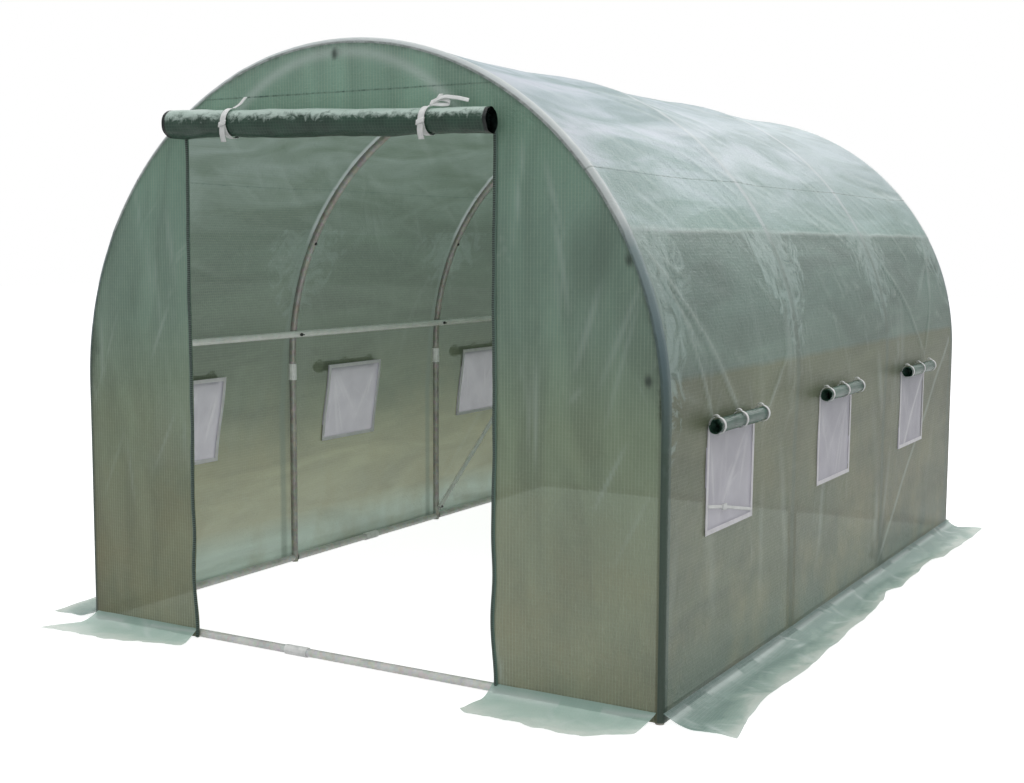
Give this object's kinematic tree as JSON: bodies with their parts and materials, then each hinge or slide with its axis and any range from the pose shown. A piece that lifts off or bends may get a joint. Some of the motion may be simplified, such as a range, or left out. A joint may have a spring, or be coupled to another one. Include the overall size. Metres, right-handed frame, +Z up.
{
  "type": "polytunnel greenhouse",
  "caption": "Walk-in garden polytunnel: steel hoops under a green woven-film cover, a rolled-up zip door in the front and screened roll-up windows along both sides.",
  "frame": {"origin": "on the ground, at the middle of the tunnel's length and width", "axes": "+Z up, the door faces -Y, +X to the right of someone who looks in through the door"},
  "size_m": [2.4352, 3.4352, 1.8026],
  "materials": {
    "galvanised_tube": "satin",
    "cover_film": "semi-gloss",
    "white_plastic": "matte",
    "black_plastic": "matte",
    "black_zip": "matte",
    "white_strap": "matte",
    "insect_mesh": "matte"
  },
  "bodies": {
    "root": {"base_rail_sleeves": "white_plastic", "door_roll": "cover_film", "door_ties": "white_strap", "door_zip_left": "black_zip", "door_zip_right": "black_zip", "frame_bolts": "black_plastic", "front_base_rail": "galvanised_tube", "front_skirt_left": "cover_film", "front_skirt_right": "cover_film", "front_wall_left": "cover_film", "front_wall_right": "cover_film", "front_wall_top": "cover_film", "left_base_rail": "galvanised_tube", "left_brace": "galvanised_tube", "left_crown_tubes": "galvanised_tube", "left_leg_collars": "white_plastic", "left_legs": "galvanised_tube", "left_purlin": "galvanised_tube", "left_shoulder_cover": "cover_film", "left_shoulder_tubes": "galvanised_tube", "left_side_wall": "cover_film", "left_skirt": "cover_film", "left_window_rolls": "cover_film", "left_window_screens": "insect_mesh", "left_window_ties": "white_strap", "rear_base_rail": "galvanised_tube", "rear_skirt": "cover_film", "rear_wall": "cover_film", "ridge_purlin": "galvanised_tube", "right_base_rail": "galvanised_tube", "right_brace": "galvanised_tube", "right_crown_tubes": "galvanised_tube", "right_leg_collars": "white_plastic", "right_legs": "galvanised_tube", "right_purlin": "galvanised_tube", "right_shoulder_cover": "cover_film", "right_shoulder_tubes": "galvanised_tube", "right_side_wall": "cover_film", "right_skirt": "cover_film", "right_window_rolls": "cover_film", "right_window_screens": "insect_mesh", "right_window_ties": "white_strap", "roof_cover": "cover_film"}
  },
  "joints": []
}
